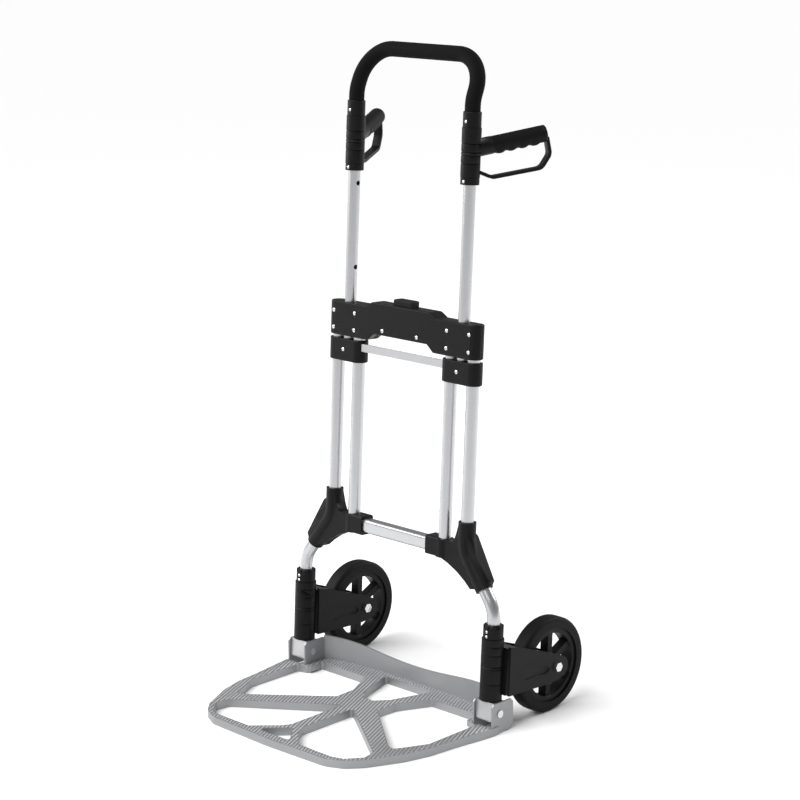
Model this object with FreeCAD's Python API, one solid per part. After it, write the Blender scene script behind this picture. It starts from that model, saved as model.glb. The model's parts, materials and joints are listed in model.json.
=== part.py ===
import FreeCAD, Part
import math
import os

# Folding hand truck, millimetres. +Z up, toe plate towards -Y, wheels towards +Y.
# Modelled with y = 0 at the toe plate's pivot axis, then moved so that the origin is on the
# floor below the middle of the bounding box.
V = FreeCAD.Vector

# ---- driving dimensions ----
lean = 3.5                 # the tube frame leans back this many degrees
pivotZ = 37.5              # height of the toe plate's pivot axis
outerX = 171.0             # outer guide tubes
innerX = 117.0             # inner guide tubes
handleX = 144.0            # telescoping handle tubes
legX = 244.0               # legs, below the bend of the outer tubes
wheelX = legX + 4.0        # wheels, a little outside the legs
guideR = 12.0              # guide tube outer radius
handleR = 11.0             # handle tube outer radius
wallT = 2.0                # wall of all tubes
slideGap = 0.3             # radial gap of the sliding and swivelling parts
castR = 16.5               # half depth of crossbar and slider blocks
wheelR = 90.0
tyreW = 33.0
tyreInnerR = 70.0
axleR = 6.0
armLength = 145.0          # leg axis to wheel axle
travel = 243.0             # handle travel
latchDrop = 6.0            # press of the latch button
pinGap = 0.8               # latch pins end this far short of the handle tubes, so they do not lock

crossZ0, crossZ1 = 672.5, 736.0
latchZ = 714.5             # axis of the latch pins
blockZ0, blockZ1 = 625.0, 667.0
bracketZ1 = 375.0
barZ0, barZ1 = 305.0, 331.0
gripZ0, gripZ1 = 994.0, 1081.0
gripYaw = 28.0             # barrels splay outwards
gripRise = 12.0            # and rise towards their ends

plateTop = 15.0
plateFront = -328.0
plateHalf = 256.0
fenceHalf = 221.0          # runs from inner ear to inner ear
fenceTops = ((0, 46.0), (90, 51.0), (155, 58.0), (221, 62.0), (235, 62.5))
fenceEndY = 36.0           # behind the pivot axis, at its ends
fenceBulge = 24.0          # further back in the middle
earT = 3.0
earGap = 21.0              # leg axis to the inside of either ear

leanRad = math.radians(lean)
axleRise = wheelR - pivotZ
axleZ = pivotZ + (axleRise + armLength * math.sin(leanRad)) / math.cos(leanRad)


# ---- helpers ----
def leaned(shape):
    """Turn a shape modelled upright back by the lean, about the toe plate's pivot axis."""
    turned = shape.copy()
    turned.rotate(V(0, 0, pivotZ), V(1, 0, 0), -lean)
    return turned


def mirrored(shape):
    return shape.mirror(V(0, 0, 0), V(1, 0, 0))


def box(x0, x1, y0, y1, z0, z1):
    return Part.makeBox(x1 - x0, y1 - y0, z1 - z0, V(x0, y0, z0))


def rod(radius, start, end):
    axis = end - start
    return Part.makeCylinder(radius, axis.Length, start, axis)


def ring(outer, inner, x, y, z0, z1):
    body = rod(outer, V(x, y, z0), V(x, y, z1))
    return body.cut(rod(inner, V(x, y, z0 - 1), V(x, y, z1 + 1)))


def bentPath(points, radius):
    """Straight runs joined by tangent arcs of one radius."""
    edges = []
    here = points[0]
    for before, corner, after in zip(points, points[1:], points[2:]):
        back = (before - corner).normalize()
        on = (after - corner).normalize()
        half = back.getAngle(on) / 2
        reach = radius / math.tan(half)
        middle = corner + (back + on).normalize() * (radius / math.sin(half) - radius)
        start, end = corner + back * reach, corner + on * reach
        edges.append(Part.makeLine(here, start))
        edges.append(Part.Arc(start, middle, end).toShape())
        here = end
    edges.append(Part.makeLine(here, points[-1]))
    return Part.Wire(edges)


def pipe(path, radius):
    first = path.Edges[0]
    start = first.valueAt(first.FirstParameter)
    profile = Part.Wire(Part.makeCircle(radius, start, first.tangentAt(first.FirstParameter)))
    return path.makePipeShell([profile], True, False)


def tube(path, radius):
    return pipe(path, radius).cut(pipe(path, radius - wallT))


def prism(points, depth0, depth1):
    """Extrude an outline given in x, z between two depths in y."""
    wire = Part.makePolygon([V(x, depth0, z) for x, z in points + points[:1]])
    return Part.Face(wire).extrude(V(0, depth1 - depth0, 0))


def sideWall(points, x0, x1):
    """Extrude an outline given in y, z between two places in x."""
    wire = Part.makePolygon([V(x0, y, z) for y, z in points + points[:1]])
    return Part.Face(wire).extrude(V(x1 - x0, 0, 0))


def fused(shapes):
    return shapes[0].multiFuse(shapes[1:]).removeSplitter()


def rounded(shape, radius, wanted):
    edges = [edge for edge in shape.Edges if wanted(edge)]
    return shape.makeFillet(radius, edges)


def flatEdge(z):
    """True for an edge that lies wholly at one height."""
    return lambda edge: edge.BoundBox.ZLength < 0.01 and abs(edge.BoundBox.ZMin - z) < 0.01


def stadium(x0, x1, radius, z0, z1):
    ends = [rod(radius, V(x, 0, z0), V(x, 0, z1)) for x in (x0, x1)]
    return fused([box(x0, x1, -radius, radius, z0, z1)] + ends)


def screw(x, z, faceY, headR=3.6, length=10.0):
    """Pan-head screw with a cross recess, driven towards +Y."""
    head = Part.makeSphere(headR * 1.35, V(x, faceY + headR * 0.8, z))
    head = head.common(rod(headR, V(x, faceY - 3, z), V(x, faceY, z)))
    shank = rod(headR * 0.5, V(x, faceY, z), V(x, faceY + length, z))
    slotHalf, slotWide, slotDepth = headR * 0.55, headR * 0.12, 1.0
    body = head.fuse(shank)
    top = head.BoundBox.YMin
    for halfX, halfZ in ((slotHalf, slotWide), (slotWide, slotHalf)):
        body = body.cut(box(x - halfX, x + halfX, top - 1, top + slotDepth, z - halfZ, z + halfZ))
    return body


def screwHole(x, z, faceY, headR=3.6, length=10.0):
    return rod(headR * 0.5, V(x, faceY - 1, z), V(x, faceY + length, z))


# ---- base frame ----
bendZ0, bendZ1 = 226.0, 322.0
outerTubePath = bentPath([V(outerX, 0, 728), V(outerX, 0, bendZ1), V(legX, 0, bendZ0), V(legX, 0, 50)], 60)


def outerTube():
    return tube(outerTubePath, guideR)


def innerTube():
    return tube(Part.Wire(Part.makeLine(V(innerX, 0, 706), V(innerX, 0, 304))), guideR)


def lowerCrossBar():
    half, depth = 112.0, 12.0
    bar = box(-half, half, -depth, depth, barZ0, barZ1)
    bar = rounded(bar, 6.0, lambda edge: edge.BoundBox.XLength > half)
    core = box(-half, half, -depth + 2, depth - 2, barZ0 + 2, barZ1 - 2)
    bar = bar.cut(rounded(core, 4.0, lambda edge: edge.BoundBox.XLength > half))
    return bar.cut(rod(guideR, V(innerX, 0, 290), V(innerX, 0, 400))).cut(
        rod(guideR, V(-innerX, 0, 290), V(-innerX, 0, 400)))


def cornerBracket():
    """Three-way moulding: bent outer tube, inner tube and lower cross bar."""
    collarR = 16.5
    endZ = 258.0
    endX = outerX + (legX - outerX) * (bendZ1 - endZ) / (bendZ1 - bendZ0)
    bend = bentPath([V(outerX, 0, bracketZ1), V(outerX, 0, bendZ1), V(endX, 0, endZ)], 60)
    collar = pipe(bend, collarR)
    innerCollar = rod(collarR, V(innerX, 0, 300), V(innerX, 0, 334))
    web = prism([(innerX, 334), (148, 334), (154, 348), (160, 370), (188, 350), (208, 316), (231, 276),
                 (226, 263), (194, 256), (180, 268), (161, 281), (139, 292), (innerX, 300)], -12.0, 12.0)
    socket = rounded(box(83, innerX, -16, 16, 300, 336), 5.0, lambda edge: edge.BoundBox.XLength > 20)
    body = fused([collar, innerCollar, web, socket])
    barHole = rounded(box(70, 112, -12, 12, barZ0, barZ1), 6.0, lambda edge: edge.BoundBox.XLength > 40)
    body = body.cut(barHole).cut(pipe(outerTubePath, guideR))
    return body.cut(rod(guideR, V(innerX, 0, 304), V(innerX, 0, 400)))


def crossbarBody():
    """Outer form of the upper crossbar, with its hump and raised underside."""
    humpZ, archZ = 745.0, 686.0
    wide = outerX + castR
    ends = [(-wide, crossZ0), (-84, crossZ0), (-68, archZ), (68, archZ), (84, crossZ0), (wide, crossZ0)]
    tops = [(wide, crossZ1), (88, crossZ1), (72, humpZ), (-72, humpZ), (-88, crossZ1), (-wide, crossZ1)]
    body = stadium(-outerX, outerX, castR, crossZ0 - 1, humpZ + 1)
    body = body.common(prism(ends + tops, -castR - 1, castR + 1))
    return rounded(body, 2.5, lambda edge: edge.Length > 20 and abs(edge.BoundBox.YLength) < 40
                   and edge.BoundBox.ZLength < 20)


def crossbarCavities():
    """Everything that is hollow inside the crossbar."""
    cuts = [box(-60, 60, -11, 11, 690, 741)]
    cuts.append(box(-22.6, 22.6, -11, 11, 740, 750))
    for side in (-1, 1):
        x0, x1 = sorted((side * 59, side * 134))
        cuts.append(box(x0, x1, -5, 5, latchZ - 5, latchZ + 5))
        cuts.append(rod(guideR, V(side * outerX, 0, 600), V(side * outerX, 0, 728)))
        cuts.append(rod(guideR, V(side * innerX, 0, 600), V(side * innerX, 0, 706)))
        cuts.append(rod(handleR + slideGap, V(side * handleX, 0, 600), V(side * handleX, 0, 800)))
    return cuts


crossScrews = [(side * x, z) for side in (-1, 1)
               for x, z in ((outerX, 718), (innerX, 718.0), (outerX, 686), (innerX, 686), (43.5, 695))]
screwDepth = 4.0           # the crossbar's screws stop short of the tubes and pins


def crossbarShell(front):
    body = crossbarBody()
    for cut in crossbarCavities():
        body = body.cut(cut)
    far = 60.0
    half = box(-300, 300, -far, 0, 600, 800) if front else box(-300, 300, 0, far, 600, 800)
    body = body.common(half)
    if front:
        for x, z in crossScrews:
            body = body.cut(screwHole(x, z, -castR, length=screwDepth))
    return body


# ---- leg ends ----
def legFoot():
    """Hinge block on the foot of a leg, between the toe plate's ears."""
    half, deep, low = earGap - 0.5, 15.0, pivotZ - 17.0
    body = box(legX - half, legX + half, -deep, deep, low, 58.5)
    body = rounded(body, 5.0, lambda edge: edge.BoundBox.XLength > half and edge.BoundBox.ZMax < pivotZ)
    body = body.cut(rod(guideR, V(legX, 0, 50), V(legX, 0, 80)))
    plug = rod(guideR - wallT, V(legX, 0, 40), V(legX, 0, 74))
    body = body.fuse(plug).removeSplitter()
    return body.cut(rod(5.0, V(legX - 30, 0, pivotZ), V(legX + 30, 0, pivotZ)))


def pivotPin():
    shaft, head = earGap + earT + 0.4, earGap + earT + 2.0
    parts = [rod(5.0, V(legX - shaft, 0, pivotZ), V(legX + shaft, 0, pivotZ))]
    for side in (-1, 1):
        parts.append(rod(7.0, V(legX + side * shaft, 0, pivotZ), V(legX + side * head, 0, pivotZ)))
    return fused(parts)


def legCollar():
    """Fixed crown above each swivelling fork."""
    body = ring(18.5, guideR, legX, 0, 175, 200)
    body = rounded(body, 1.5, flatEdge(200.0))
    for angle in range(0, 360, 45):
        notch = box(legX + 16, legX + 22, -3, 3, 194, 202)
        notch.rotate(V(legX, 0, 0), V(0, 0, 1), angle + 22.5)
        body = body.cut(notch)
    for z in (179.5, 188.5):
        body = body.cut(screwHole(legX, z, -18.5, 2.6, 6.0))
    return body


# ---- wheel forks and wheels ----
def grooved(body, x, radius, heights):
    """Shallow grooves round the front half of a sleeve."""
    for z in heights:
        groove = ring(radius + 3, radius - 1.2, x, 0, z, z + 1.8)
        body = body.cut(groove.common(box(x - 60, x + 60, -60, 6, z - 1, z + 3)))
    return body


def fork():
    sleeveR, z0, z1 = 20.5, 59.5, 174.5
    plateIn, plateOut = 22.0, 28.0
    arm = [(14, 161), (40, 156), (110, 134), (150, 121), (168, 113), (176, 104), (176, 90), (168, 80),
           (152, 73), (128, 70), (14, 69)]
    sleeve = rod(sleeveR, V(legX, 0, z0), V(legX, 0, z1))
    web = sideWall([(10, 158), (45, 153), (45, 72), (10, 70)], wheelX - plateIn, wheelX + plateIn)
    recess = [(56, 121), (118, 105), (125, 98), (116, 92), (56, 90)]
    parts = [sleeve, web]
    for side in (-1, 1):
        x0, x1 = sorted((wheelX + side * plateIn, wheelX + side * plateOut))
        wall = sideWall(arm, x0, x1)
        c0, c1 = sorted((wheelX + side * (plateOut - 2.0), wheelX + side * (plateOut + 1)))
        parts.append(wall.cut(sideWall(recess, c0, c1)))
    body = fused(parts)
    body = body.cut(rod(guideR + slideGap, V(legX, 0, z0 - 1), V(legX, 0, z1 + 1)))
    body = body.cut(rod(axleR, V(wheelX - 60, armLength, axleZ), V(wheelX + 60, armLength, axleZ)))
    return grooved(body, legX, sleeveR, (160.0, 144.0, 123.0, 118.0, 90.0))


def hexPrism(flat, x0, x1):
    corner = flat / math.sqrt(3)
    points = [(armLength + corner * math.cos(math.radians(60 * k)),
               axleZ + corner * math.sin(math.radians(60 * k))) for k in range(6)]
    return sideWall(points, x0, x1)


def axleBolt():
    head = hexPrism(16.0, wheelX + 28, wheelX + 34)
    return head.fuse(rod(axleR, V(wheelX - 33, armLength, axleZ), V(wheelX + 28, armLength, axleZ))).removeSplitter()


def axleNut():
    nut = hexPrism(16.0, wheelX - 34, wheelX - 28)
    return nut.cut(rod(axleR, V(wheelX - 60, armLength, axleZ), V(wheelX, armLength, axleZ)))


def wheelDisc(outer, inner, half):
    body = rod(outer, V(wheelX - half, armLength, axleZ), V(wheelX + half, armLength, axleZ))
    return body.cut(rod(inner, V(wheelX - half - 1, armLength, axleZ), V(wheelX + half + 1, armLength, axleZ)))


def rim():
    spokes = 6
    hub = wheelDisc(19, 11, 19)
    band = wheelDisc(tyreInnerR, 60, 13)
    centre = V(wheelX, armLength, axleZ)
    parts = [hub, band]
    for k in range(spokes):
        spoke = box(wheelX - 9, wheelX + 9, armLength - 6, armLength + 6, axleZ + 17, axleZ + 62)
        spoke.rotate(centre, V(1, 0, 0), 360.0 / spokes * k)
        parts.append(spoke)
    return fused(parts)


def tyre():
    body = rod(wheelR, V(wheelX - tyreW / 2, armLength, axleZ), V(wheelX + tyreW / 2, armLength, axleZ))
    body = body.makeFillet(8.0, [edge for edge in body.Edges if edge.Closed and edge.BoundBox.XLength < 0.01])
    return body.cut(rod(tyreInnerR, V(wheelX - 40, armLength, axleZ), V(wheelX + 40, armLength, axleZ)))


def bearings():
    both = []
    for x0 in (wheelX - 19, wheelX + 12):
        race = rod(11, V(x0, armLength, axleZ), V(x0 + 7, armLength, axleZ))
        both.append(race.cut(rod(axleR + 0.05, V(x0 - 1, armLength, axleZ), V(x0 + 8, armLength, axleZ))))
    return Part.makeCompound(both)


def axleSpacers():
    """Tubes that keep the hub in the middle of the fork."""
    both = []
    for x0, x1 in ((wheelX - 22, wheelX - 19.3), (wheelX + 19.3, wheelX + 22)):
        spacer = rod(9, V(x0, armLength, axleZ), V(x1, armLength, axleZ))
        both.append(spacer.cut(rod(axleR, V(x0 - 1, armLength, axleZ), V(x1 + 1, armLength, axleZ))))
    return Part.makeCompound(both)


# ---- telescoping handle ----
loopTilt = math.radians(20)
loopBendZ = 1129.0
loopLength = 81.0
loopTop = V(handleX, loopLength * math.sin(loopTilt), loopBendZ + loopLength * math.cos(loopTilt))
handlePath = [V(-handleX, 0, 630), V(-handleX, 0, loopBendZ), V(-loopTop.x, loopTop.y, loopTop.z),
              loopTop, V(handleX, 0, loopBendZ), V(handleX, 0, 630)]
loopR = 62.0


def handleTube():
    body = tube(bentPath(handlePath, loopR), handleR)
    for side in (-1, 1):
        for rise in (0, 87, travel):
            z = latchZ + rise
            body = body.cut(rod(4.5, V(side * (handleX - 14), 0, z), V(side * (handleX - 4), 0, z)))
    return body


def foamGrip():
    foamPath = [V(p.x, p.y, max(p.z, 1109.0)) for p in handlePath]
    path = bentPath(foamPath, loopR)
    return pipe(path, 14.2).cut(pipe(path, handleR))


def sliderBlock():
    body = stadium(innerX, outerX, castR, blockZ0, blockZ1)
    body = rounded(body, 2.0, lambda edge: flatEdge(blockZ0)(edge) or flatEdge(blockZ1)(edge))
    for x in (innerX, outerX):
        body = body.cut(rod(guideR + slideGap, V(x, 0, 600), V(x, 0, 700)))
    body = body.cut(rod(handleR, V(handleX, 0, 630), V(handleX, 0, 700)))
    body = body.cut(box(innerX - 20, innerX - 12.5, -9, -5, 646.8, 662.2))
    return body.cut(screwHole(handleX, 647, -castR, length=5.0))


def tieStrip():
    end = innerX - 12.5
    return rounded(box(-end, end, -9, -5, 647, 662), 1.2, lambda edge: edge.BoundBox.XLength > 100)


# ---- rear grips ----
def upperCollar():
    body = rounded(ring(16.5, handleR, handleX, 0, 1081.5, 1109), 1.5, flatEdge(1109.0))
    return body.cut(screwHole(handleX, 1092, -16.5, 2.8, 5.0))


def lowerCollar():
    body = ring(17.0, handleR, handleX, 0, 981, gripZ0 - 0.5)
    return body.cut(screwHole(handleX, 987, -17.0, 2.8, 5.0))


def barrelPoint(reach, offset=0.0):
    """A point on the barrel's axis, or offset square to it in the grip's upright plane."""
    yaw, rise = math.radians(gripYaw), math.radians(gripRise)
    flat = reach * math.cos(rise) - offset * math.sin(rise)
    height = 1043 + reach * math.sin(rise) + offset * math.cos(rise)
    return V(handleX + flat * math.sin(yaw), flat * math.cos(yaw), height)


def gripBody():
    sleeve = rod(17.5, V(handleX, 0, gripZ0), V(handleX, 0, gripZ1))
    neck = rod(16.0, barrelPoint(0), barrelPoint(38))
    core = rod(9.0, barrelPoint(30), barrelPoint(134))
    cap = rounded(rod(15.3, barrelPoint(134), barrelPoint(141)), 2.0,
                  lambda edge: edge.Closed and edge.BoundBox.YMax > barrelPoint(136).y)
    body = fused([sleeve, neck, core, cap])
    body = body.cut(rod(handleR + slideGap, V(handleX, 0, 900), V(handleX, 0, 1200)))
    return grooved(body, handleX, 17.5, (1017.0, 1031.0, 1037.0, 1052.0))


def gripRubber():
    barrel = rod(15.3, barrelPoint(38), barrelPoint(134))
    waves = [Part.makeSphere(15.9, barrelPoint(reach, -2.0)) for reach in (52, 74, 96, 118)]
    body = fused([barrel] + waves)
    return body.cut(rod(9.0, barrelPoint(20), barrelPoint(160)))


def gripGuard():
    """Strap that closes the finger gap below the barrel."""
    yaw = math.radians(gripYaw)
    outline = [(16, 1003), (40, 994), (132, 1011), (147, 1036), (140, 1066)]
    points = [V(handleX + r * math.sin(yaw), r * math.cos(yaw), z) for r, z in outline]
    across = V(math.cos(yaw), -math.sin(yaw), 0)
    path = bentPath(points, 16)
    start = (points[1] - points[0]).normalize()
    normal = across.cross(start)
    corners = [points[0] + across * (8 * a) + normal * (3 * b) for a, b in ((-1, -1), (1, -1), (1, 1), (-1, 1))]
    strap = path.makePipeShell([Part.makePolygon(corners + corners[:1])], True, False)
    for shape in (gripBody(), gripRubber()):
        strap = strap.cut(shape)
    return max(strap.Solids, key=lambda solid: solid.Volume)


# ---- latch ----
camX = 20.0                # follower pins of the latch rods sit this far from the middle


def latchButton():
    """Push button with a cam plate whose slanted slots draw the pins inwards."""
    cap = rounded(box(-22, 22, -10.6, 10.6, 734, 757), 3.0, flatEdge(757.0))
    flange = box(-26, 26, -10.6, 10.6, 734, 740.5)
    cam = box(-28, 28, -2, 2, 704, 735)
    body = fused([cap, flange, cam])
    reach = latchDrop + 0.6
    for side in (-1, 1):
        low = V(side * (camX + 0.6), -6, latchZ - 0.6)
        high = V(side * (camX - reach), -6, latchZ + reach)
        run = (high - low)
        run.normalize()
        wide = V(-run.z, 0, run.x) * 2.3
        slot = Part.Face(Part.makePolygon([low + wide, high + wide, high - wide, low - wide, low + wide]))
        body = body.cut(slot.extrude(V(0, 12, 0)))
        for point in (low, high):
            body = body.cut(Part.makeCylinder(2.3, 12, point, V(0, 1, 0)))
    return body


def latchPin():
    rodPart = rod(3.5, V(37, 0, latchZ), V(handleX - handleR - pinGap, 0, latchZ))
    tongue = box(camX - 5, 41, 2.4, 5.4, latchZ - 3, latchZ + 3)
    follower = rod(2.0, V(camX, -3.5, latchZ), V(camX, 5.4, latchZ))
    body = fused([rodPart, tongue, follower])
    guideHalf = 4.7
    keep = box(0, 60, -10, 10, 700, 730).fuse(box(59, 140, -guideHalf, guideHalf, 700, 730))
    return body.common(keep)


def buttonSpring():
    """Coil spring below the cam plate, drawn at its pressed length."""
    coil = Part.makeHelix(2.2, 6.0, 4.2)
    coil.translate(V(0, 0, 691))
    start = V(4.2, 0, 691)
    profile = Part.Wire(Part.makeCircle(0.6, start, V(0, 1, 0)))
    return Part.Wire(coil).makePipeShell([profile], True, False)


# ---- toe plate ----
def flatFace(points, z):
    return Part.Face(Part.makePolygon([V(x, y, z) for x, y in points + points[:1]]))


def bothSides(points):
    """Close a right-hand outline with its mirror image."""
    return points + [(-x, y) for x, y in reversed(points) if x > 0]


plateOutline = bothSides([(fenceHalf + 10, 12.0), (plateHalf + 14, -4.0), (plateHalf + 14, -26.0),
                          (plateHalf, -112.0), (250, -165),
                          (236, -215), (203, -281), (180, -307), (146, -323), (0, plateFront)])


def fenceY(x):
    """Rear edge of the plate, bulging rearwards in the middle."""
    return fenceEndY + fenceBulge * (1 - (abs(x) / fenceHalf) ** 4)


def fenceCurve(shift, z):
    steps = 8
    xs = [fenceHalf * (2.0 * k / steps - 1) for k in range(steps + 1)]
    spline = Part.BSplineCurve()
    spline.interpolate([V(x, fenceY(x) + shift, z) for x in xs])
    return spline.toShape()


def fenceBand(y0, y1, z0, height):
    """Solid band that follows the rear edge between two shifts."""
    front, rear = fenceCurve(y0, z0), fenceCurve(y1, z0)
    ends = [Part.makeLine(front.valueAt(c.LastParameter if last else c.FirstParameter),
                          rear.valueAt(c.LastParameter if last else c.FirstParameter))
            for c, last in ((front, False), (front, True))]
    wire = Part.Wire(Part.__sortEdges__([front, ends[1], rear, ends[0]]))
    return Part.Face(wire).extrude(V(0, 0, height))


def fenceTrim():
    """Everything above the fence's top edge, which dips in the middle."""
    high, y0 = 120.0, -20.0
    tops = [(-x, z) for x, z in reversed(fenceTops) if x > 0] + list(fenceTops)
    spline = Part.BSplineCurve()
    spline.interpolate([V(x, y0, z) for x, z in tops])
    left, right = V(tops[0][0], y0, tops[0][1]), V(tops[-1][0], y0, tops[-1][1])
    above = Part.makePolygon([right, V(right.x, y0, high), V(left.x, y0, high), left])
    return Part.Face(Part.Wire([spline.toShape()] + above.Edges)).extrude(V(0, 120, 0))


sideHoles = [
    [(88, 12), (204, 12), (212, 4), (212, -22), (234, -28), (234, -150), (204, -209), (190, -207), (54, -97), (56, -50)],
    [(14, -122), (190, -246), (194, -272), (172, -300), (148, -308), (66, -308), (24, -268), (14, -250)],
]
middleHoles = [bothSides([(62, 42), (33, -42), (12, -67)]), bothSides([(42, -307), (0, -262)])]


def holeCutter(points, grow, z0, z1):
    face = flatFace(points, z0)
    if grow:
        face = Part.Face(face.makeOffset2D(grow).OuterWire)
    solid = face.extrude(V(0, 0, z1 - z0))
    if grow:
        return solid
    return rounded(solid, 5.0, lambda edge: edge.BoundBox.ZLength > 10)


def ear(x0):
    outline = [(-20, 2), (-20, 54), (-15, 59), (30, 59), (36, 53), (36, 8), (30, 2)]
    wall = sideWall(outline, x0, x0 + earT)
    return wall.cut(rod(5.08, V(x0 - 5, 0, pivotZ), V(x0 + earT + 5, 0, pivotZ)))


def toePlate():
    """Cast plate: a skin with a skirt round its edge and round each window."""
    skin, skirt = 4.0, 4.5
    outline = flatFace(plateOutline, 0)
    block = rounded(outline.extrude(V(0, 0, plateTop)), 40.0,
                    lambda edge: edge.BoundBox.ZLength > 10 and edge.BoundBox.YMin < -100
                    and abs(edge.BoundBox.XMin) > 10)
    inner = Part.Face(outline.makeOffset2D(-skirt).OuterWire)
    whole = block.fuse(fenceBand(-60, 0, 0, plateTop)).removeSplitter()
    underBand = fenceBand(-60, -skirt, 0, plateTop - skin).common(box(-208, 208, -60, 80, -1, plateTop))
    body = whole.cut(inner.extrude(V(0, 0, plateTop - skin))).cut(underBand)
    holes = sideHoles + middleHoles + [[(-x, y) for x, y in reversed(points)] for points in sideHoles]
    for points in holes:
        body = body.fuse(holeCutter(points, skirt, 0, plateTop).common(whole))
    for points in holes:
        body = body.cut(holeCutter(points, 0, -5, plateTop + 5))
    fence = fenceBand(-4, 0, plateTop - skin, 60).cut(fenceTrim())
    innerEar, outerEar = legX - earGap - earT, legX + earGap
    ears = [ear(x0) for x0 in (innerEar, outerEar)]
    clear = box(innerEar + earT, outerEar, -24, 60, -5, 80)
    bridges = [box(innerEar - 14, innerEar + earT, -20, 14, 3, plateTop),
               box(plateHalf - 22, outerEar + earT, -30, -20, 3, plateTop)]
    body = body.cut(clear).cut(mirrored(clear))
    extras = ears + bridges
    return fused([body, fence] + extras + [mirrored(extra) for extra in extras])


# ---- output ----
def pair(name, shape):
    """A left and a right copy of a piece modelled on the right."""
    return {"right_" + name: shape, "left_" + name: mirrored(shape)}


upright = {"lower_cross_bar": lowerCrossBar(), "crossbar_front_shell": crossbarShell(True),
           "crossbar_rear_shell": crossbarShell(False), "handle_tube": handleTube(),
           "foam_grip": foamGrip(), "tie_strip": tieStrip(), "latch_button": latchButton(),
           "button_spring": buttonSpring()}
upright["crossbar_screws"] = Part.makeCompound([screw(x, z, -castR, length=screwDepth) for x, z in crossScrews])
for nodeName, screws in (
        ("slider_screws", [(handleX, 647, -castR, 3.6)]),
        ("leg_collar_screws", [(legX, 179.5, -18.5, 2.6), (legX, 188.5, -18.5, 2.6)]),
        ("grip_collar_screws", [(handleX, 1092, -16.5, 2.8), (handleX, 987, -17.0, 2.8)])):
    upright[nodeName] = Part.makeCompound(
        [screw(side * x, z, y, r, 4.0) for side in (-1, 1) for x, z, y, r in screws])
for nodeName, maker in (
        ("outer_tube", outerTube), ("inner_tube", innerTube), ("corner_bracket", cornerBracket),
        ("leg_foot", legFoot), ("pivot_pin", pivotPin), ("leg_collar", legCollar), ("fork", fork),
        ("axle_bolt", axleBolt), ("axle_nut", axleNut), ("axle_spacers", axleSpacers), ("rim", rim),
        ("tyre", tyre), ("bearings", bearings), ("slider_block", sliderBlock),
        ("upper_collar", upperCollar), ("lower_collar", lowerCollar), ("grip_body", gripBody),
        ("grip_rubber", gripRubber), ("grip_guard", gripGuard), ("latch_pin", latchPin)):
    upright.update(pair(nodeName, maker()))

nodes = {name: leaned(shape) for name, shape in upright.items()}
nodes["toe_plate"] = toePlate()

wheelRear = armLength * math.cos(leanRad) + (axleZ - pivotZ) * math.sin(leanRad) + wheelR
middleY = (plateFront + wheelRear) / 2
for shape in nodes.values():
    shape.translate(V(0, -middleY, 0))

os.makedirs("parts", exist_ok=True)
for name, shape in sorted(nodes.items()):
    shape.exportStep("parts/%s.step" % name)
    bounds = shape.BoundBox
    print("%-22s solids %d valid %s volume %9.0f  z %.1f to %.1f" % (
        name, len(shape.Solids), shape.isValid(), shape.Volume, bounds.ZMin, bounds.ZMax))
print("nodes", len(nodes))
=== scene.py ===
import json
import math
import bmesh
import bpy
from mathutils import Matrix, Vector


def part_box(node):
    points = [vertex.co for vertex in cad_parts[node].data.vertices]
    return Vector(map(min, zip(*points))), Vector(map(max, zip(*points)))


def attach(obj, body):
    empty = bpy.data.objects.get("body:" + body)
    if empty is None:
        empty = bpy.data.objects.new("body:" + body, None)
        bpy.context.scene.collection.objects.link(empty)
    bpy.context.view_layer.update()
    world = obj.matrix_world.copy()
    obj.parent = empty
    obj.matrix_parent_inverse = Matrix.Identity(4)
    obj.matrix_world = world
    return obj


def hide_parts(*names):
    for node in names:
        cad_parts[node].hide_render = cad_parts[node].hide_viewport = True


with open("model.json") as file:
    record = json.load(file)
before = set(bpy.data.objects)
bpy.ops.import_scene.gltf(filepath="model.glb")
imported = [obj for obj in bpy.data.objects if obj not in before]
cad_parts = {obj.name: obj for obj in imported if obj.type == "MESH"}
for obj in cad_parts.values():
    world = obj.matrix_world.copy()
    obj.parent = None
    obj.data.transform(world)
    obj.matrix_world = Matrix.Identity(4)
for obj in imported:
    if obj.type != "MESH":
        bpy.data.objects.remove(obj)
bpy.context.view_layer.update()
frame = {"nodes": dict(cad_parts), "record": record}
nodes = frame["nodes"]
record = frame["record"]
slotOf = {part["node"]: part["material_slot"] for part in record["subparts"]}
bodyOf = {node: body for body, names in record["behaviour"]["bodies"].items()
          for node in names}

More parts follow.
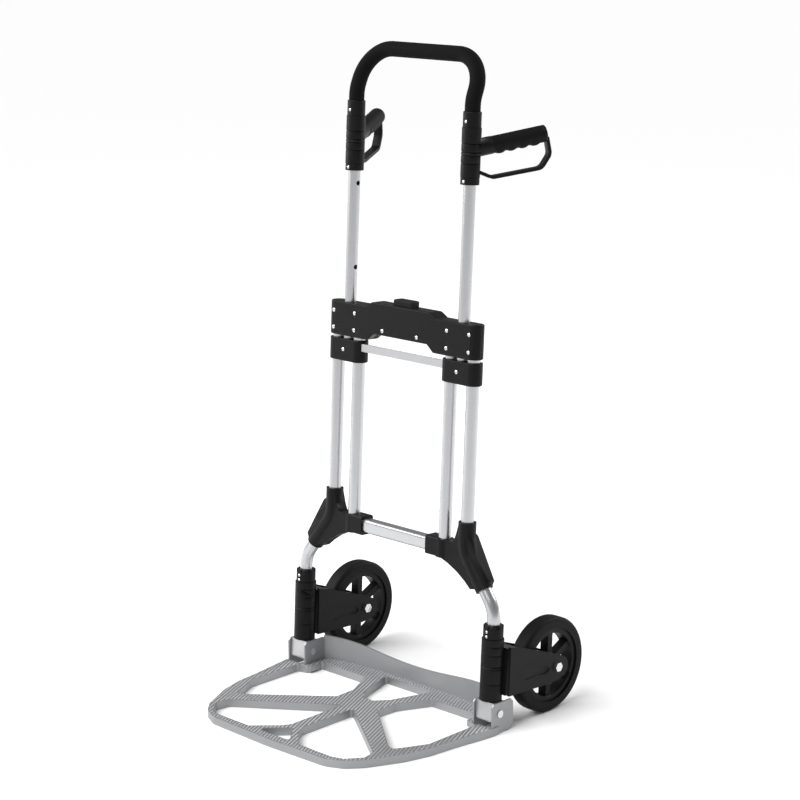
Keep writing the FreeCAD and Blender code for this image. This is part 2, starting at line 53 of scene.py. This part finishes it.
# every finish: colour, the share of it left in the darker patches, roughness and its
# spread, how fine the grain is and how strongly it stands out
finishes = {
    "anodised": dict(color=(0.56, 0.565, 0.58), drift=0.90, metallic=1.0, specular=0.5,
                     roughness=0.30, spread=0.06, grain=420.0, bump=0.10,
                     stretch=(1.0, 1.0, 0.02)),
    "plate_aluminium": dict(color=(0.36, 0.365, 0.375), drift=0.86, metallic=0.75, specular=0.5,
                            roughness=0.50, spread=0.10, grain=520.0, bump=0.22),
    # the ribs' colour is a lighter copy of plate_aluminium, a painted highlight on the rib crests
    "polishedRib": dict(color=(0.74, 0.745, 0.76), drift=0.86, metallic=0.9, specular=0.5,
                        roughness=0.34, spread=0.08, grain=520.0, bump=0.10),
    "grey_casting": dict(color=(0.58, 0.58, 0.59), drift=0.88, metallic=0.9, specular=0.5,
                         roughness=0.40, spread=0.10, grain=600.0, bump=0.16),
    "zinc": dict(color=(0.76, 0.76, 0.77), drift=0.85, metallic=1.0, specular=0.5,
                 roughness=0.24, spread=0.10, grain=500.0, bump=0.05),
    "black_plastic": dict(color=(0.0035, 0.0035, 0.0038), drift=0.70, metallic=0.0, specular=0.17,
                          roughness=0.46, spread=0.10, grain=1500.0, bump=0.22),
    "grip_rubber": dict(color=(0.0035, 0.0035, 0.0035), drift=0.70, metallic=0.0, specular=0.15,
                        roughness=0.64, spread=0.08, grain=1200.0, bump=0.30),
    "foam": dict(color=(0.0045, 0.0045, 0.0045), drift=0.60, metallic=0.0, specular=0.12,
                 roughness=0.88, spread=0.05, grain=1100.0, bump=0.85),
    "tyre": dict(color=(0.0045, 0.0045, 0.0045), drift=0.65, metallic=0.0, specular=0.16,
                 roughness=0.60, spread=0.10, grain=800.0, bump=0.26),
}

# shared by every finish: broad patches of handling and wear, and a fine grain
wear = dict(patchScale=9.0, patchDetail=4.0, grainDetail=3.0, grainDepth=0.0004,
            evenStretch=(1.0, 1.0, 1.0))


def makeFinish(name, look):
    material = bpy.data.materials.new(name)
    material.use_nodes = True
    tree = material.node_tree
    new, link = tree.nodes.new, tree.links.new
    shader = tree.nodes["Principled BSDF"]
    shader.inputs["Metallic"].default_value = look["metallic"]
    shader.inputs["Specular IOR Level"].default_value = look["specular"]
    place = new("ShaderNodeTexCoord")
    mapping = new("ShaderNodeMapping")
    mapping.inputs["Scale"].default_value = look.get("stretch", wear["evenStretch"])
    link(place.outputs["Object"], mapping.inputs["Vector"])
    fine = new("ShaderNodeTexNoise")
    fine.inputs["Scale"].default_value = look["grain"]
    fine.inputs["Detail"].default_value = wear["grainDetail"]
    link(mapping.outputs["Vector"], fine.inputs["Vector"])
    broad = new("ShaderNodeTexNoise")
    broad.inputs["Scale"].default_value = wear["patchScale"]
    broad.inputs["Detail"].default_value = wear["patchDetail"]
    link(place.outputs["Object"], broad.inputs["Vector"])
    tint = new("ShaderNodeMix")
    tint.data_type = "RGBA"
    colorA, colorB = [socket for socket in tint.inputs if socket.type == "RGBA"]
    colorA.default_value = (*[channel * look["drift"] for channel in look["color"]], 1.0)
    colorB.default_value = (*look["color"], 1.0)
    link(broad.outputs["Fac"], tint.inputs[0])
    result = [socket for socket in tint.outputs if socket.type == "RGBA"][0]
    link(result, shader.inputs["Base Color"])
    polish = new("ShaderNodeMapRange")
    polish.inputs["To Min"].default_value = look["roughness"] - look["spread"]
    polish.inputs["To Max"].default_value = look["roughness"] + look["spread"]
    link(fine.outputs["Fac"], polish.inputs["Value"])
    link(polish.outputs["Result"], shader.inputs["Roughness"])
    bump = new("ShaderNodeBump")
    bump.inputs["Strength"].default_value = look["bump"]
    bump.inputs["Distance"].default_value = wear["grainDepth"]
    link(fine.outputs["Fac"], bump.inputs["Height"])
    link(bump.outputs["Normal"], shader.inputs["Normal"])
    return material


materials = {name: makeFinish(name, look) for name, look in finishes.items()}
for nodeName, slotName in slotOf.items():
    mesh = nodes[nodeName].data
    mesh.materials.clear()
    mesh.materials.append(materials[slotName])
print("materials set on", len(nodes), "nodes")

# tubes, wheels and mouldings get a welded, smooth-shaded skin of the same shape
skins = dict(weld=0.000004, crease=28.0, flatness=90, kinds=(
    "outer_tube", "inner_tube", "handle_tube", "corner_bracket", "fork", "leg_collar",
    "upper_collar", "lower_collar", "grip_body", "grip_rubber", "grip_guard", "tyre", "rim",
    "slider_block", "crossbar_front_shell", "crossbar_rear_shell", "latch_button"))


def camel(name):
    words = name.split("_")
    return words[0] + "".join(word.capitalize() for word in words[1:])


def kindOf(nodeName):
    return nodeName.replace("left_", "").replace("right_", "")


def skinNode(nodeName):
    work = bmesh.new()
    work.from_mesh(nodes[nodeName].data)
    bmesh.ops.remove_doubles(work, verts=work.verts, dist=skins["weld"])
    mesh = bpy.data.meshes.new(camel(nodeName) + "Skin")
    work.to_mesh(mesh)
    work.free()
    mesh.polygons.foreach_set("use_smooth", [True] * len(mesh.polygons))
    mesh.set_sharp_from_angle(angle=math.radians(skins["crease"]))
    mesh.materials.append(materials[slotOf[nodeName]])
    skin = bpy.data.objects.new(camel(nodeName) + "Skin", mesh)
    bpy.context.scene.collection.objects.link(skin)
    flatten = skin.modifiers.new("evenShading", "WEIGHTED_NORMAL")
    flatten.mode = "FACE_AREA"  # keeps broad faces flat beside small rounds
    flatten.weight = skins["flatness"]
    flatten.keep_sharp = True
    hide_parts(nodeName)
    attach(skin, bodyOf[nodeName])


skinned = [name for name in sorted(nodes) if kindOf(name) in skins["kinds"]]
for nodeName in skinned:
    skinNode(nodeName)
print("smooth skins", len(skinned))


def newTree(name, inputs):
    tree = bpy.data.node_groups.new(name, "GeometryNodeTree")
    face = tree.interface
    face.new_socket("Geometry", in_out="INPUT", socket_type="NodeSocketGeometry")
    kinds = {float: "NodeSocketFloat", int: "NodeSocketInt",
             bpy.types.Object: "NodeSocketObject", bpy.types.Material: "NodeSocketMaterial"}
    for label, kind in inputs:
        face.new_socket(label, in_out="INPUT", socket_type=kinds[kind])
    face.new_socket("Geometry", in_out="OUTPUT", socket_type="NodeSocketGeometry")
    return tree


def setInputs(modifier, values):
    for item in modifier.node_group.interface.items_tree:
        if item.item_type == "SOCKET" and item.in_out == "INPUT" and item.name in values:
            modifier[item.identifier] = values[item.name]


def bake(name, tree, values, route=()):
    start = bpy.data.meshes.new(name + "Start")
    runs = [(k, k + 1) for k in range(len(route) - 1)]
    start.from_pydata([tuple(point) for point in route], runs, [])
    holder = bpy.data.objects.new(name + "Holder", start)
    bpy.context.scene.collection.objects.link(holder)
    modifier = holder.modifiers.new("build", "NODES")
    modifier.node_group = tree
    setInputs(modifier, values)
    bpy.context.view_layer.update()
    ready = holder.evaluated_get(bpy.context.evaluated_depsgraph_get())
    mesh = bpy.data.meshes.new_from_object(ready)
    mesh.name = name
    bpy.data.objects.remove(holder)
    piece = bpy.data.objects.new(name, mesh)
    bpy.context.scene.collection.objects.link(piece)
    return piece


def mathNode(tree, operation, a, b=0.0):
    node = tree.nodes.new("ShaderNodeMath")
    node.operation = operation
    for socket, value in zip(node.inputs, (a, b)):
        if isinstance(value, (int, float)):
            socket.default_value = value
        else:
            tree.links.new(value, socket)
    return node.outputs[0]


def finishTree(tree, geometry, groupIn, groupOut):
    real = tree.nodes.new("GeometryNodeRealizeInstances")
    tree.links.new(geometry, real.inputs["Geometry"])
    paint = tree.nodes.new("GeometryNodeSetMaterial")
    tree.links.new(real.outputs["Geometry"], paint.inputs["Geometry"])
    tree.links.new(groupIn.outputs["Material"], paint.inputs["Material"])
    tree.links.new(paint.outputs["Geometry"], groupOut.inputs["Geometry"])


# slanted grip ribs on the flat top of the toe plate, stopping short of every edge;
# each rib point is cast down from castFrom and kept where it lands on the top's level
treads = dict(spacing=0.0066, step=0.0025, ribRadius=0.0014, ribSides=6, turn=24.0, span=0.70,
              level=0.015, margin=0.0022, sideways=0.0005, castFrom=0.3, castLength=1.0,
              tolerance=0.0004)


def treadTree():
    tree = newTree("plateTreads", [
        ("Plate", bpy.types.Object), ("Spacing", float), ("Step", float), ("Span", float),
        ("Turn", float), ("Level", float), ("Middle Y", float), ("Rib Radius", float),
        ("Margin", float), ("Material", bpy.types.Material)])
    n, link = tree.nodes, tree.links.new
    groupIn = n.new("NodeGroupInput")
    groupOut = n.new("NodeGroupOutput")
    given = groupIn.outputs
    grid = n.new("GeometryNodeMeshGrid")
    link(given["Span"], grid.inputs["Size X"])
    link(given["Span"], grid.inputs["Size Y"])
    link(mathNode(tree, "DIVIDE", given["Span"], given["Spacing"]), grid.inputs["Vertices X"])
    link(mathNode(tree, "DIVIDE", given["Span"], given["Step"]), grid.inputs["Vertices Y"])

    ends = n.new("GeometryNodeInputMeshEdgeVertices")  # an edge across the ribs has ends apart in x
    apart = n.new("ShaderNodeVectorMath")
    apart.operation = "SUBTRACT"
    link(ends.outputs["Position 1"], apart.inputs[0])
    link(ends.outputs["Position 2"], apart.inputs[1])
    split = n.new("ShaderNodeSeparateXYZ")
    link(apart.outputs[0], split.inputs[0])
    sideGap = mathNode(tree, "ABSOLUTE", split.outputs["X"])
    across = mathNode(tree, "GREATER_THAN", sideGap, treads["sideways"])
    cutAcross = n.new("GeometryNodeDeleteGeometry")
    cutAcross.domain = "EDGE"
    cutAcross.mode = "EDGE_FACE"
    link(grid.outputs["Mesh"], cutAcross.inputs["Geometry"])
    link(across, cutAcross.inputs["Selection"])

    shift = n.new("ShaderNodeCombineXYZ")
    link(given["Middle Y"], shift.inputs["Y"])
    shift.inputs["Z"].default_value = treads["castFrom"]
    spin = n.new("ShaderNodeCombineXYZ")
    link(given["Turn"], spin.inputs["Z"])
    move = n.new("GeometryNodeTransform")
    link(cutAcross.outputs["Geometry"], move.inputs["Geometry"])
    link(shift.outputs[0], move.inputs["Translation"])
    link(spin.outputs[0], move.inputs["Rotation"])

    plate = n.new("GeometryNodeObjectInfo")
    link(given["Plate"], plate.inputs["Object"])
    here = n.new("GeometryNodeInputPosition")

    def offPlate(sideX, sideY):
        offset = n.new("ShaderNodeCombineXYZ")
        link(mathNode(tree, "MULTIPLY", given["Margin"], sideX), offset.inputs["X"])
        link(mathNode(tree, "MULTIPLY", given["Margin"], sideY), offset.inputs["Y"])
        source = n.new("ShaderNodeVectorMath")
        link(here.outputs[0], source.inputs[0])
        link(offset.outputs[0], source.inputs[1])
        ray = n.new("GeometryNodeRaycast")
        link(plate.outputs["Geometry"], ray.inputs["Target Geometry"])
        link(source.outputs[0], ray.inputs["Source Position"])
        ray.inputs["Ray Direction"].default_value = (0.0, 0.0, -1.0)
        ray.inputs["Ray Length"].default_value = treads["castLength"]
        hit = n.new("ShaderNodeSeparateXYZ")
        link(ray.outputs["Hit Position"], hit.inputs[0])
        fromTop = mathNode(tree, "SUBTRACT", hit.outputs["Z"], given["Level"])
        gap = mathNode(tree, "ABSOLUTE", fromTop)
        wrongLevel = mathNode(tree, "GREATER_THAN", gap, treads["tolerance"])
        missed = mathNode(tree, "SUBTRACT", 1.0, ray.outputs["Is Hit"])
        return mathNode(tree, "MAXIMUM", wrongLevel, missed)

    bad = offPlate(0, 0)
    for sideX, sideY in ((1, 0), (-1, 0), (0, 1), (0, -1)):
        bad = mathNode(tree, "MAXIMUM", bad, offPlate(sideX, sideY))
    trim = n.new("GeometryNodeDeleteGeometry")
    link(move.outputs["Geometry"], trim.inputs["Geometry"])
    link(bad, trim.inputs["Selection"])

    flat = n.new("ShaderNodeCombineXYZ")
    hereSplit = n.new("ShaderNodeSeparateXYZ")
    link(here.outputs[0], hereSplit.inputs[0])
    link(hereSplit.outputs["X"], flat.inputs["X"])
    link(hereSplit.outputs["Y"], flat.inputs["Y"])
    link(given["Level"], flat.inputs["Z"])
    drop = n.new("GeometryNodeSetPosition")
    link(trim.outputs["Geometry"], drop.inputs["Geometry"])
    link(flat.outputs[0], drop.inputs["Position"])

    curve = n.new("GeometryNodeMeshToCurve")
    link(drop.outputs["Geometry"], curve.inputs["Mesh"])
    profile = n.new("GeometryNodeCurvePrimitiveCircle")
    profile.inputs["Resolution"].default_value = treads["ribSides"]
    link(given["Rib Radius"], profile.inputs["Radius"])
    solid = n.new("GeometryNodeCurveToMesh")
    link(curve.outputs["Curve"], solid.inputs["Curve"])
    link(profile.outputs["Curve"], solid.inputs["Profile Curve"])
    solid.inputs["Fill Caps"].default_value = True
    finishTree(tree, solid.outputs["Mesh"], groupIn, groupOut)
    return tree


def buildTreads():
    low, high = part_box("toe_plate")
    ribs = bake("plateTreads", treadTree(), {
        "Plate": nodes["toe_plate"], "Spacing": treads["spacing"], "Step": treads["step"],
        "Span": treads["span"], "Turn": math.radians(treads["turn"]), "Level": treads["level"],
        "Middle Y": (low.y + high.y) / 2, "Rib Radius": treads["ribRadius"],
        # the ribs take the lighter rib colour, a painted highlight on their crests
        "Margin": treads["margin"], "Material": materials["polishedRib"]})
    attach(ribs, "toe_plate")
    print("tread ribs", len(ribs.data.polygons), "faces")


buildTreads()

# foam sleeve of the loop, swept along the loop's line and rounded over at both ends;
# lumpMiddle is the noise value that stays on the surface, high so that most lumps sink
foam = dict(halfWidth=0.144, endZ=1.109, bendZ=1.129, rise=0.081, tilt=20.0, bend=0.062,
            radius=0.0142, bendSteps=24, step=0.0035, sides=56, endRound=0.004, endShare=0.84,
            lump=0.0003, lumpSize=55.0, lumpMiddle=0.7, lean=3.5, pivotZ=0.0375,
            pivotY=0.044759)


def foamTree():
    tree = newTree("foamSleeve", [
        ("Bend", float), ("Bend Steps", int), ("Step", float), ("Radius", float),
        ("Sides", int), ("End Round", float), ("End Share", float), ("Lump", float),
        ("Lump Size", float), ("Material", bpy.types.Material)])
    n, link = tree.nodes, tree.links.new
    groupIn = n.new("NodeGroupInput")
    groupOut = n.new("NodeGroupOutput")
    given = groupIn.outputs
    line = n.new("GeometryNodeMeshToCurve")
    link(given["Geometry"], line.inputs["Mesh"])
    bend = n.new("GeometryNodeFilletCurve")
    bend.mode = "POLY"
    link(line.outputs["Curve"], bend.inputs["Curve"])
    link(given["Bend"], bend.inputs["Radius"])
    link(given["Bend Steps"], bend.inputs["Count"])
    even = n.new("GeometryNodeResampleCurve")
    even.mode = "LENGTH"
    link(bend.outputs["Curve"], even.inputs["Curve"])
    link(given["Step"], even.inputs["Length"])
    along = n.new("GeometryNodeSplineParameter")
    whole = n.new("GeometryNodeSplineLength")
    left = mathNode(tree, "SUBTRACT", whole.outputs["Length"], along.outputs["Length"])
    toEnd = mathNode(tree, "MINIMUM", along.outputs["Length"], left)
    share = mathNode(tree, "DIVIDE", toEnd, given["End Round"])
    share = mathNode(tree, "MINIMUM", share, 1.0)
    rest = mathNode(tree, "SUBTRACT", 2.0, share)
    arc = mathNode(tree, "SQRT", mathNode(tree, "MULTIPLY", share, rest))
    growth = mathNode(tree, "SUBTRACT", 1.0, given["End Share"])
    size = mathNode(tree, "ADD", given["End Share"], mathNode(tree, "MULTIPLY", arc, growth))
    taper = n.new("GeometryNodeSetCurveRadius")
    link(even.outputs["Curve"], taper.inputs["Curve"])
    link(size, taper.inputs["Radius"])
    profile = n.new("GeometryNodeCurvePrimitiveCircle")
    link(given["Sides"], profile.inputs["Resolution"])
    link(given["Radius"], profile.inputs["Radius"])
    sweep = n.new("GeometryNodeCurveToMesh")
    link(taper.outputs["Curve"], sweep.inputs["Curve"])
    link(profile.outputs["Curve"], sweep.inputs["Profile Curve"])
    sweep.inputs["Fill Caps"].default_value = True
    here = n.new("GeometryNodeInputPosition")
    lumps = n.new("ShaderNodeTexNoise")
    link(here.outputs[0], lumps.inputs["Vector"])
    link(given["Lump Size"], lumps.inputs["Scale"])
    lift = mathNode(tree, "SUBTRACT", lumps.outputs["Fac"], foam["lumpMiddle"])
    depth = mathNode(tree, "MULTIPLY", lift, given["Lump"])
    normal = n.new("GeometryNodeInputNormal")
    push = n.new("ShaderNodeVectorMath")
    push.operation = "SCALE"
    link(normal.outputs["Normal"], push.inputs[0])
    link(depth, push.inputs["Scale"])
    soften = n.new("GeometryNodeSetPosition")
    link(sweep.outputs["Mesh"], soften.inputs["Geometry"])
    link(push.outputs[0], soften.inputs["Offset"])
    smooth = n.new("GeometryNodeSetShadeSmooth")
    link(soften.outputs["Geometry"], smooth.inputs["Geometry"])
    finishTree(tree, smooth.outputs["Geometry"], groupIn, groupOut)
    return tree


def leanedPoint(x, y, z):
    angle = math.radians(foam["lean"])
    rise = z - foam["pivotZ"]
    return Vector((x, y * math.cos(angle) + rise * math.sin(angle) + foam["pivotY"],
                   foam["pivotZ"] - y * math.sin(angle) + rise * math.cos(angle)))


def buildFoam():
    tilt = math.radians(foam["tilt"])
    topY = foam["rise"] * math.sin(tilt)
    topZ = foam["bendZ"] + foam["rise"] * math.cos(tilt)
    side = [(0.0, foam["endZ"]), (0.0, foam["bendZ"]), (topY, topZ)]
    route = [leanedPoint(-foam["halfWidth"], y, z) for y, z in side]
    route += [leanedPoint(foam["halfWidth"], y, z) for y, z in reversed(side)]
    sleeve = bake("foamSleeve", foamTree(), {
        "Bend": foam["bend"], "Bend Steps": foam["bendSteps"], "Step": foam["step"],
        "Radius": foam["radius"], "Sides": foam["sides"], "End Round": foam["endRound"],
        "End Share": foam["endShare"], "Lump": foam["lump"], "Lump Size": foam["lumpSize"],
        "Material": materials["foam"]}, route)
    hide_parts("foam_grip")
    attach(sleeve, "handle")
    print("foam sleeve", len(sleeve.data.polygons), "faces")


buildFoam()

# floor, camera and a broad sun, with a softbox at the left and one behind on the right
studio = dict(floorSize=160.0, floorShade=0.92, floorRoughness=0.9, floorSpecular=0.1,
              camera=(2.8674, -2.8677, 1.5642), aim=(-0.67902, 0.69548, -0.23503),
              roll=-0.526, lens=103.63, sensor=36.0,
              sky=(1.0, 1.0, 1.0, 1.0), skyShade=0.30,
              sunPower=3.2, sunSpread=50.0, sunFrom=(-0.5, -2.4, 3.0),
              softboxAim=(0.0, 0.0, 0.6), softboxes=dict(
                  fillSoftbox=dict(place=(-3.0, -1.2, 1.8), size=1.6, power=60.0),
                  rimSoftbox=dict(place=(1.2, 3.4, 2.4), size=1.8, power=70.0)))


def aimed(direction):
    return direction.to_track_quat("-Z", "Y")


def buildFloor():
    half = studio["floorSize"] / 2
    mesh = bpy.data.meshes.new("floor")
    corners = [(-half, -half, 0), (half, -half, 0), (half, half, 0), (-half, half, 0)]
    mesh.from_pydata(corners, [], [(0, 1, 2, 3)])
    floor = bpy.data.objects.new("floor", mesh)
    bpy.context.scene.collection.objects.link(floor)
    shade = bpy.data.materials.new("paleFloor")
    shade.use_nodes = True
    surface = shade.node_tree.nodes["Principled BSDF"]
    surface.inputs["Base Color"].default_value = (studio["floorShade"],) * 3 + (1.0,)
    surface.inputs["Roughness"].default_value = studio["floorRoughness"]
    surface.inputs["Specular IOR Level"].default_value = studio["floorSpecular"]
    mesh.materials.append(shade)


def buildLight():
    sun = bpy.data.lights.new("keySun", "SUN")
    sun.energy = studio["sunPower"]
    sun.angle = math.radians(studio["sunSpread"])
    lamp = bpy.data.objects.new("keySun", sun)
    lamp.rotation_euler = aimed(-Vector(studio["sunFrom"])).to_euler()
    bpy.context.scene.collection.objects.link(lamp)
    for name, softbox in studio["softboxes"].items():
        data = bpy.data.lights.new(name, "AREA")
        data.size = softbox["size"]
        data.energy = softbox["power"]
        box = bpy.data.objects.new(name, data)
        box.location = softbox["place"]
        toMiddle = Vector(studio["softboxAim"]) - Vector(softbox["place"])
        box.rotation_euler = aimed(toMiddle).to_euler()
        bpy.context.scene.collection.objects.link(box)
    world = bpy.data.worlds.new("studioWorld")
    world.use_nodes = True
    backdrop = world.node_tree.nodes["Background"]
    backdrop.inputs["Color"].default_value = studio["sky"]
    backdrop.inputs["Strength"].default_value = studio["skyShade"]
    bpy.context.scene.world = world


def buildCamera():
    data = bpy.data.cameras.new("studioCamera")
    data.lens = studio["lens"]
    data.sensor_width = studio["sensor"]
    camera = bpy.data.objects.new("studioCamera", data)
    turn = aimed(Vector(studio["aim"]))
    roll = Matrix.Rotation(math.radians(studio["roll"]), 3, "Z")
    place = Matrix.Translation(studio["camera"])
    camera.matrix_world = place @ (turn.to_matrix() @ roll).to_4x4()
    bpy.context.scene.collection.objects.link(camera)
    bpy.context.scene.camera = camera


buildFloor()
buildLight()
buildCamera()
bpy.context.scene.view_settings.view_transform = "Standard"  # true white floor and true blacks
print("studio ready")
